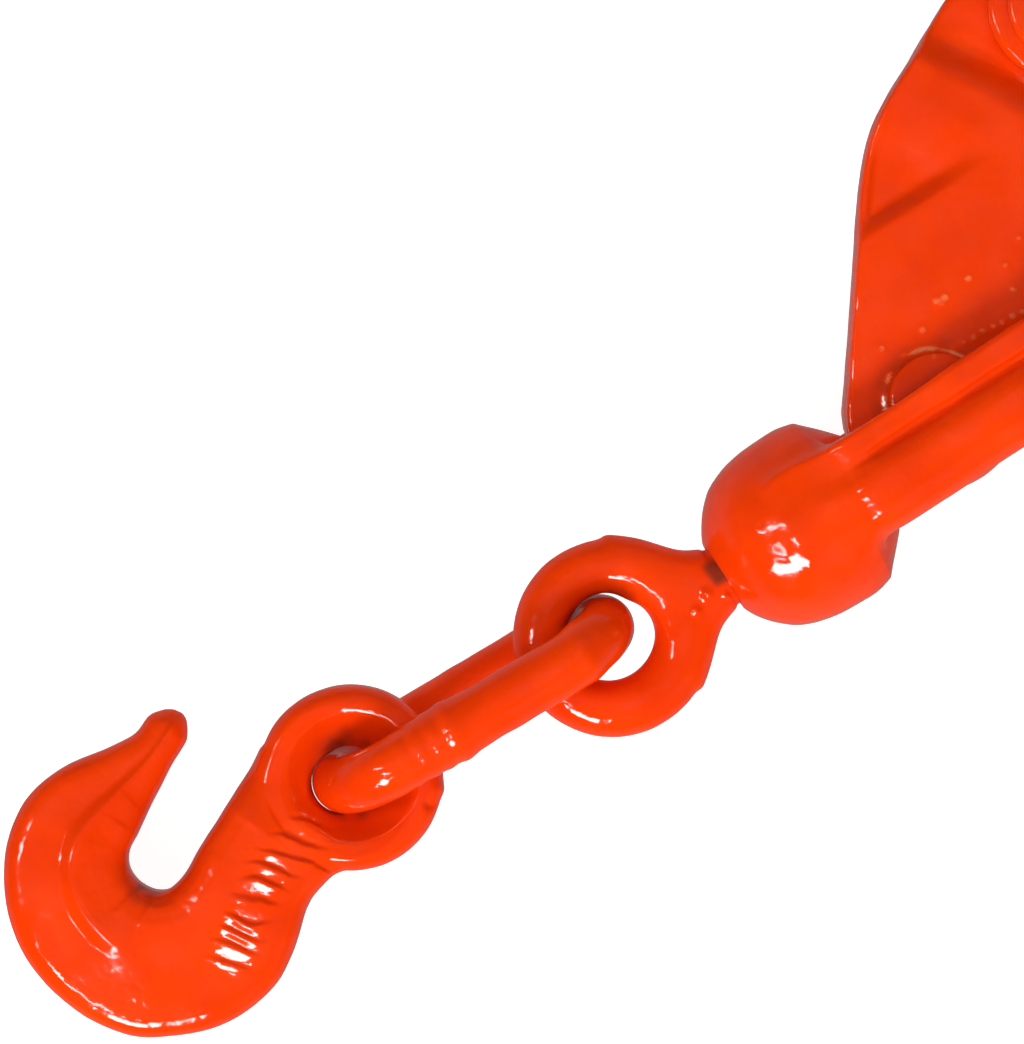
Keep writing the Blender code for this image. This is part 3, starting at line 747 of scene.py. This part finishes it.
# The moving arm's middle line: along, bow, thickness from the ring's to the arm's, and the step outwards
MOVING_PATH = ((0, 0, 0.0, 0.0), (10, 0.12, 0.0, 0.0), (20, 0.36, 1.0, 0.0), (32, 0.66, 1.0, 0.0),
               (46, 0.92, 1.0, 0.0), (60, 1.0, 1.0, 0.0), (72, 0.94, 1.0, 0.0), (82, 0.76, 1.0, 0.0),
               (91, 0.5, 1.0, 0.25), (99, 0.26, 1.0, 0.85), (108, 0.06, 1.0, 1.0), (118, 0.0, 1.0, 1.0))
MOVING_BOW = 22.0
MOVING_ARM_W = 7.5
STEP_INSIDE = 6.6
STEP_OUTSIDE = 7.5


def boss_field(x, y, z):
    """The ball-shaped boss with a flat crotch face, bored and counterbored."""
    r = np.hypot(y, z)
    outline = [(BOSS_BACK_X, -5.0)] + BOSS_PROFILE + [(CROTCH_X, -5.0)]
    radii = np.arange(-1.0, 34.0, BOSS_TABLE_STEP)
    table = outline_distance(outline, x[:, 0, 0][:, None], radii[None, :])
    spot = np.clip((r[0] - radii[0]) / BOSS_TABLE_STEP, 0, len(radii) - 1.001)
    low = spot.astype(int)
    part = spot - low
    skin = table[:, low] * (1 - part) + table[:, low + 1] * part
    bore = r - SHANK_R - GAP
    counter = np.maximum(r - BUTTON_R - 2 * GAP, BUTTON_SEAT_X - x)
    return cut(cut(skin, bore, 0.8), counter, 0.5)


def standing_field(x, y, z):
    """Each arm is a thick rounded bar with a thinner flange along its upper side, and a groove between."""
    up = np.abs(z)
    reach = STANDING_REACH
    start = ease(x, 1, 20)
    taper = ease(x, reach - 32, reach - 12)
    top = STANDING_ARM_T - STANDING_ROOT_DROP * (1 - start) - (STANDING_ARM_T - STANDING_END_T) * taper
    mid = BAR_MID_Y - 0.1 * taper
    bar_w = BAR_HALF_W + 0.9 * start - 0.5 * ease(x, 20, 60)
    ends = np.maximum(STANDING_ROOT_X - x, x - reach)
    low_face = OUTER_INNER_FACE - up
    crown = (y - mid - 3) ** 2 * ARM_CROWN
    bar = common(np.abs(y - mid) - bar_w, up - top + crown, 6.0)
    bar = common(common(bar, ends, 3.0), low_face, 1.0)
    edge = FLANGE_Y + 0.9 * ease(x, 15, 60) - 1.6 * taper
    flange = common(y - edge, up - (top - FLANGE_DROP), 1.6)
    flange = common(flange, 2.0 - y, 1.0)
    flange = common(common(flange, ends + 1.5, 3.0), low_face, 0.8)
    arms = melt(bar, flange, 1.3)
    groove = np.hypot(y - GROOVE_Y, (up - top + GROOVE_DEPTH) * 0.5) - GROOVE_R
    fade = 2.4 * (1 - ease(x, 2, 24)) + 6 * ease(x, reach - 26, reach - 17)
    arms = cut(arms, groove + fade, 0.9)
    whole = melt(boss_field(x, y, z), arms, 3.6)
    ring_r = np.hypot(x - reach, y)
    ring = slab(ring_r - YOKE_END_R, z, OUTER_INNER_FACE, STANDING_END_T, 2.4)
    whole = melt(whole, ring, 3.0)
    whole = common(whole, only_where(x > CROTCH_X + 1, OUTER_INNER_FACE - up), 0.4)
    whole = common(whole, only_where(ring_r < RIVET_R + 8, up - STANDING_END_T), 0.4)
    return cut(whole, ring_r - RIVET_R - GAP, 0.5)


def moving_field(x, y, z):
    """The moving yoke: arms close to the web that bow round the standing pivot and step out to the boss."""
    up = np.abs(z)
    reach = MOVING_REACH
    stops, bows, thicks, steps = zip(*MOVING_PATH)
    line = [(reach - stop, -MOVING_BOW * bow) for stop, bow in zip(stops, bows)]
    flat_x, flat_y = np.broadcast_arrays(x[:, :, 0], y[:, :, 0])
    gap, _ = path_distance(flowing(line), flat_x, flat_y)
    along = reach - flat_x
    thick = np.interp(along, stops, thicks)
    step = np.interp(along, stops, steps)
    low = WEB_T + GAP + step * STEP_INSIDE
    high = MOVING_END_T + (INNER_LAYER - MOVING_END_T) * thick + step * STEP_OUTSIDE
    crown = gap ** 2 * ARM_CROWN
    bar = common((gap - MOVING_ARM_W)[:, :, None], up - (high - crown)[:, :, None], 3.8)
    bar = common(bar, low[:, :, None] - up, 0.8)
    ring_r = np.hypot(x - reach, y)
    ring = slab(ring_r - YOKE_END_R, z, WEB_T + GAP, MOVING_END_T, 2.0)
    whole = melt(melt(boss_field(x, y, z), bar, 3.0), ring, 2.5)
    whole = common(whole, only_where(x > CROTCH_X + 1, WEB_T + GAP - up), 0.4)
    whole = common(whole, only_where(ring_r < RIVET_R + 7, up - MOVING_END_T), 0.4)
    return cut(whole, ring_r - RIVET_R - GAP, 0.5)


def rivet(name, spot, grip, face, head_r, body):
    """A painted rivet with low domed heads, a step round each dome and a rounded edge."""
    under = grip + GAP
    height = face - under
    half = [(under, RIVET_R), (under, head_r - 0.5), (under + 0.3, head_r), (under + 0.35 * height, head_r)]
    for turn in (20, 40, 60, 80):
        a = math.radians(turn)
        half.append((under + height * (0.35 + 0.40 * math.sin(a)), head_r - 1.7 * (1 - math.cos(a))))
    half += [(under + 0.70 * height, head_r - 2.6), (under + 0.78 * height, head_r - 3.4)]
    crown_r = head_r - 4.0
    for k in range(1, 7):
        share = 1 - k / 7
        half.append((face - 0.2 * height * share ** 2, crown_r * share))
    half.append((face, 0))
    profile = [(-z, r) for z, r in reversed(half)] + half
    place_at = Matrix.Translation(Vector((*spot, MID_Z)))
    turned(name, profile, place_at, body, PAINT, "binder_paint", axis="Z")


# ---------------------------------------------------------------- lever

HEEL_AND_PIVOT_EDGE = (arc(HEEL, HEEL_R, 165, 338, 24) + [(-42.0, 4.0), (-33.5, 3.6), (-24.5, -1.0)]
                       + arc((0, 0), PIVOT_LOBE_R, 206, 262, 8))
BACK_EDGE = [(-32.1, 69.7), (-40.0, 66.0), (-46.6, 62.0), (-53.0, 56.0), (-61.9, 44.4), (-70.6, 32.6),
             (-79.6, 20.4)]
WEB_NEAR_EDGE = [(15.6, 24.0), (18.0, 40.0), (25.5, 54.0), (37.0, 64.0), (46.5, 74.0), (52.6, 90.0)]
WEB_FAR_EDGE = [(36.2, 110.6), (31.9, 97.5), (27.4, 91.2), (21.5, 86.5), (14.0, 83.0), (7.0, 82.2),
                (0.0, 81.8), (-8.0, 80.0), (-19.6, 76.3)]
BASE_NEAR_EDGE = [(-0.5, -9.0), (-0.5, 9.0), (-1.0, 20.0), (-3.6, 30.0), (-9.5, 37.0), (-12.6, 50.8),
                  (-25.4, 72.9)]

RIB_FOOT = (-37.2, 64.1)
RIB_CREST = (-32.1, 68.3)
RIB_ACROSS = (0.868, 0.497)
POCKET_LOW_Y = 42.6
POCKET_DEPTH = 3.2
POCKET_RUN = 19

HANDLE_WAY = (math.cos(math.radians(HANDLE_DEG)), math.sin(math.radians(HANDLE_DEG)))
HANDLE_END = HANDLE_LENGTH - 0.5
HANDLE_HALF_W = 10.6
HANDLE_HALF_T = 8.7
HANDLE_NECK_L = 62
TIP_EXTRA_W = 3.2
TIP_EXTRA_T = 1.8

SPECKS = ((-61.1, 21.1), (-54.8, 23.7), (-55.7, 24.5), (-47.4, 24.9), (-34.1, 26.4), (-39.7, 23.0),
          (-40.6, 18.1), (-70.3, 22.3), (-53.6, 24.2))
# Its pale colour is painted highlight along the paint's edge beside the standing arm
DOTTED_LINE = tuple((2.3 * k - 62.3, 15.0 - 0.2 * k) for k in range(10))
NIBS = SPECKS + DOTTED_LINE


def lever_outlines():
    """The web's outline, out to the handle's neck, and the heavy base's."""
    way = np.array(HANDLE_WAY)
    right = np.array((way[1], -way[0]))
    neck_end = np.array(HANDLE_ROOT) + way * HANDLE_NECK_L
    neck = [tuple(neck_end + right * HANDLE_HALF_W), tuple(neck_end - right * HANDLE_HALF_W)]
    web = (HEEL_AND_PIVOT_EDGE + arc((0, 0), PIVOT_LOBE_R, 275, 378, 12) + WEB_NEAR_EDGE + neck
           + WEB_FAR_EDGE + BACK_EDGE)
    base = HEEL_AND_PIVOT_EDGE + BASE_NEAR_EDGE + BACK_EDGE
    return flowing(web, True, 3), flowing(base, True, 3)


def base_relief(x, y, in_base):
    """How far the base's face is sunk: the pocket below the rib, and the slope beyond its crest."""
    below_rib = -((x - RIB_FOOT[0]) * RIB_ACROSS[0] + (y - RIB_FOOT[1]) * RIB_ACROSS[1])
    beyond_rib = (x - RIB_CREST[0]) * RIB_ACROSS[0] + (y - RIB_CREST[1]) * RIB_ACROSS[1]
    pocket = (POCKET_DEPTH * ease(below_rib, 0, POCKET_RUN) ** 0.8
              * ease(y, POCKET_LOW_Y, POCKET_LOW_Y + 5))
    pocket = pocket * (0.72 + 0.28 * ease(-in_base, 1.2, 2.4))
    slope = (BASE_T - WEB_T + 0.3) * ease(beyond_rib, -0.5, 9.5) * ease(y, 35, 46)
    return pocket, slope


def handle_field(x, y, up):
    """A flattened bar that grows out of the web's neck and widens at its end."""
    ux, uy = HANDLE_WAY
    dx, dy = x - HANDLE_ROOT[0], y - HANDLE_ROOT[1]
    along = dx * ux + dy * uy
    across = dx * uy - dy * ux
    tip = ease(along, HANDLE_END - 36, HANDLE_END - 18)
    half_w = HANDLE_HALF_W - 0.4 * ease(along, 80, 180) + TIP_EXTRA_W * tip
    half_t = HANDLE_HALF_T + TIP_EXTRA_T * tip
    half_t = WEB_T + (half_t - WEB_T) * ease(along, 40, HANDLE_NECK_L)
    ends = np.maximum(42 - along, along - HANDLE_END)
    grip = common(np.abs(across) - half_w, up - half_t + 0.012 * across ** 2, 6.5)
    return common(grip, ends, 7.0)


def lever_field(x, y, z):
    """The lever's web, heavy base with a cast pocket and a rib, pads, neck and flattened handle."""
    up = np.abs(z)
    flat_x, flat_y = np.broadcast_arrays(x[:, :, 0], y[:, :, 0])
    web, base = lever_outlines()
    in_web = outline_distance(web, flat_x, flat_y)[:, :, None]
    in_base = outline_distance(base, flat_x, flat_y)[:, :, None]
    pocket, slope = base_relief(x, y, in_base)
    body = common(in_web, up - WEB_T, 1.6)
    body = melt(body, common(in_base, (up - BASE_T + pocket + slope) * 0.88, 1.1), 1.2)
    pad = common(np.hypot(x, y) - PAD_R, up - INNER_LAYER - GAP, 0.5)
    heel = common(np.hypot(x - HEEL[0], y - HEEL[1]) - HEEL_PAD_R, up - INNER_LAYER, 1.2)
    body = melt(melt(body, pad, 1.0), heel, 0.9)
    body = melt(body, handle_field(x, y, up), 2.5)
    for spot_y in (0.0, PIVOT_SPACING):
        body = cut(body, np.hypot(x, y - spot_y) - RIVET_R - GAP, 0.5)
    return body


def heel_bead(points, width):
    """A wobbly bead round the heel's pad, 1 at its crest, and the distance from the pad's middle."""
    r = np.hypot(points[:, 0] - HEEL[0], points[:, 1] - HEEL[1])
    return np.exp(-(((r - HEEL_PAD_R - 0.7 - 0.5 * noise(points, 5, 51)) / width) ** 2)), r


def lever_swell(points, normals):
    """The bead of paint round the heel's pad, and dust nibs."""
    bead, _ = heel_bead(points, 0.55)
    flat = np.abs(normals[:, 2]) > 0.6
    nibs = sum(dab(points, *spot, 0.45 + 0.12 * (k % 3)) for k, spot in enumerate(NIBS))
    return flat * (0.28 * bead + 0.35 * nibs)


def lever_marks(points, normals):
    """Painted highlight on the paint bead round the heel's pad and on the dotted line, pale specks on the
    other nibs, and painted shadow of the standing arm beside the pad.
    """
    bead, r = heel_bead(points, 0.5)
    # The bead's pale colour is painted highlight, where the paint's fillet catches the light
    bead *= ease(noise(points, 2.6, 52), -0.5, 0.3)
    flat = np.abs(normals[:, 2]) > 0.5
    # Pale on the nibs: pale specks, and painted highlight along the dotted line
    nibs = sum(dab(points, *spot, 0.5) for spot in NIBS) * (0.55 + 0.45 * noise(points, 1.1, 54))
    height = np.abs(points[:, 2])
    # Painted shadow under the standing arm, beside the heel's pad
    shade = ease(-r, -HEEL_PAD_R - 4.5, -HEEL_PAD_R - 0.5) * ease(height, 8.5, 9.5)
    shade = shade * (height < BASE_T + 0.6) * (0.28 + 0.25 * noise(points, 3, 53))
    return np.clip(flat * (0.8 * bead + nibs), 0, 1) - np.clip(shade, 0, 0.5) * (bead < 0.3)


# ---------------------------------------------------------------- assembly

for index, suffix in enumerate("ab"):
    chain_end(suffix, 100 * index)

forged("standing_yoke", (BOSS_BACK_X, -20.5, -25.2), (STANDING_REACH + YOKE_END_R, 20.5, 25.2), YOKE_CELL,
       standing_field, END_FRAMES["a"], "standing_yoke", 200)
forged("moving_yoke", (BOSS_BACK_X, -31, -22), (MOVING_REACH + YOKE_END_R, 20.5, 22), YOKE_CELL,
       moving_field, END_FRAMES["b"], "moving_yoke", 210)
rivet("pivot_rivet_a", (STANDING_PIVOT.x, STANDING_PIVOT.y), STANDING_END_T, STANDING_HEAD_T, 11.5,
      "standing_yoke")
rivet("pivot_rivet_b", (STANDING_PIVOT.x, STANDING_PIVOT.y + PIVOT_SPACING), MOVING_END_T, INNER_LAYER, 12.0,
      "moving_yoke")
forged("lever", (-86.5, -17.5, -13.8), (128, 371.5, 13.8), LEVER_CELL, lever_field, LEVER_FRAME, "lever", 220,
       lever_marks, lever_swell)


# ---------------------------------------------------------------- studio

VIEW_TURN_DEG = -32.5
VIEW_CENTRE = Vector((-0.154, 0.0331, MID_Z * MM))
VIEW_HEIGHT = 1.3
VIEW_TALL = 0.2175
SENSOR_MM = 36
# Name, direction from the view's centre, distance and size in metres, and watts
LAMPS = (("key", (-0.552, -0.513, 0.656), 2.2, (0.71, 0.61), 35),
         ("strip", (-0.468, -0.176, 0.866), 1.3, (0.30, 0.09), 2.2),
         ("left", (-0.484, 0.308, 0.819), 1.3, (0.10, 0.30), 2.0))
FILLS = (((-0.60, 0.75, 0.70), 4), ((0.75, 0.60, 0.70), 15), ((0.10, -0.90, 0.60), 22), ((0, 0, 1), 19))
FILL_DISTANCE = 2.6
FILL_SIZE = (2.1, 2.1)


def area_light(name, direction, distance, size, power):
    lamp = bpy.data.lights.new(name, "AREA")
    lamp.shape = "RECTANGLE"
    lamp.size, lamp.size_y = size
    lamp.energy = power
    obj = bpy.data.objects.new(name, lamp)
    bpy.context.scene.collection.objects.link(obj)
    towards = Vector(direction).normalized()
    obj.location = VIEW_CENTRE + towards * distance
    obj.rotation_euler = (-towards).to_track_quat("-Z", "Y").to_euler()
    return obj


def white_floor():
    bpy.ops.mesh.primitive_plane_add(size=12, location=(0, 0, cad_box[0][2] - 0.0002))
    floor = bpy.context.object
    floor.name = "studio_floor"
    floor.data.materials.append(pale_floor())
    floor.visible_glossy = False


def surroundings():
    """A white world, dim above and brighter below, as the pale floor would make it."""
    world = bpy.data.worlds.new("studio")
    world.use_nodes = True
    tree = world.node_tree
    towards = tree.nodes.new("ShaderNodeTexCoord")
    split = tree.nodes.new("ShaderNodeSeparateXYZ")
    feed(tree, split, {"Vector": towards.outputs["Generated"]})
    brightness = remap(tree, split.outputs["Z"], 0.15, -0.35, 0.025, 0.22)
    feed(tree, tree.nodes["Background"], {"Color": (1, 1, 1, 1), "Strength": brightness})
    bpy.context.scene.world = world
    bpy.context.scene.view_settings.view_transform = "Standard"


def view_from_above():
    lens = bpy.data.cameras.new("camera")
    lens.lens = SENSOR_MM * VIEW_HEIGHT / VIEW_TALL
    lens.sensor_width = SENSOR_MM
    lens.clip_end = 50
    camera = bpy.data.objects.new("camera", lens)
    bpy.context.scene.collection.objects.link(camera)
    camera.location = VIEW_CENTRE + Vector((0, 0, VIEW_HEIGHT))
    camera.rotation_euler = (0, 0, math.radians(VIEW_TURN_DEG))
    bpy.context.scene.camera = camera


def studio():
    """A soft key and two small soft boxes from the left, and wide fills that leave no reflections."""
    white_floor()
    for lamp in LAMPS:
        area_light(*lamp)
    for k, (direction, power) in enumerate(FILLS):
        area_light(f"fill_{k}", direction, FILL_DISTANCE, FILL_SIZE, power).visible_glossy = False
    surroundings()
    view_from_above()


studio()
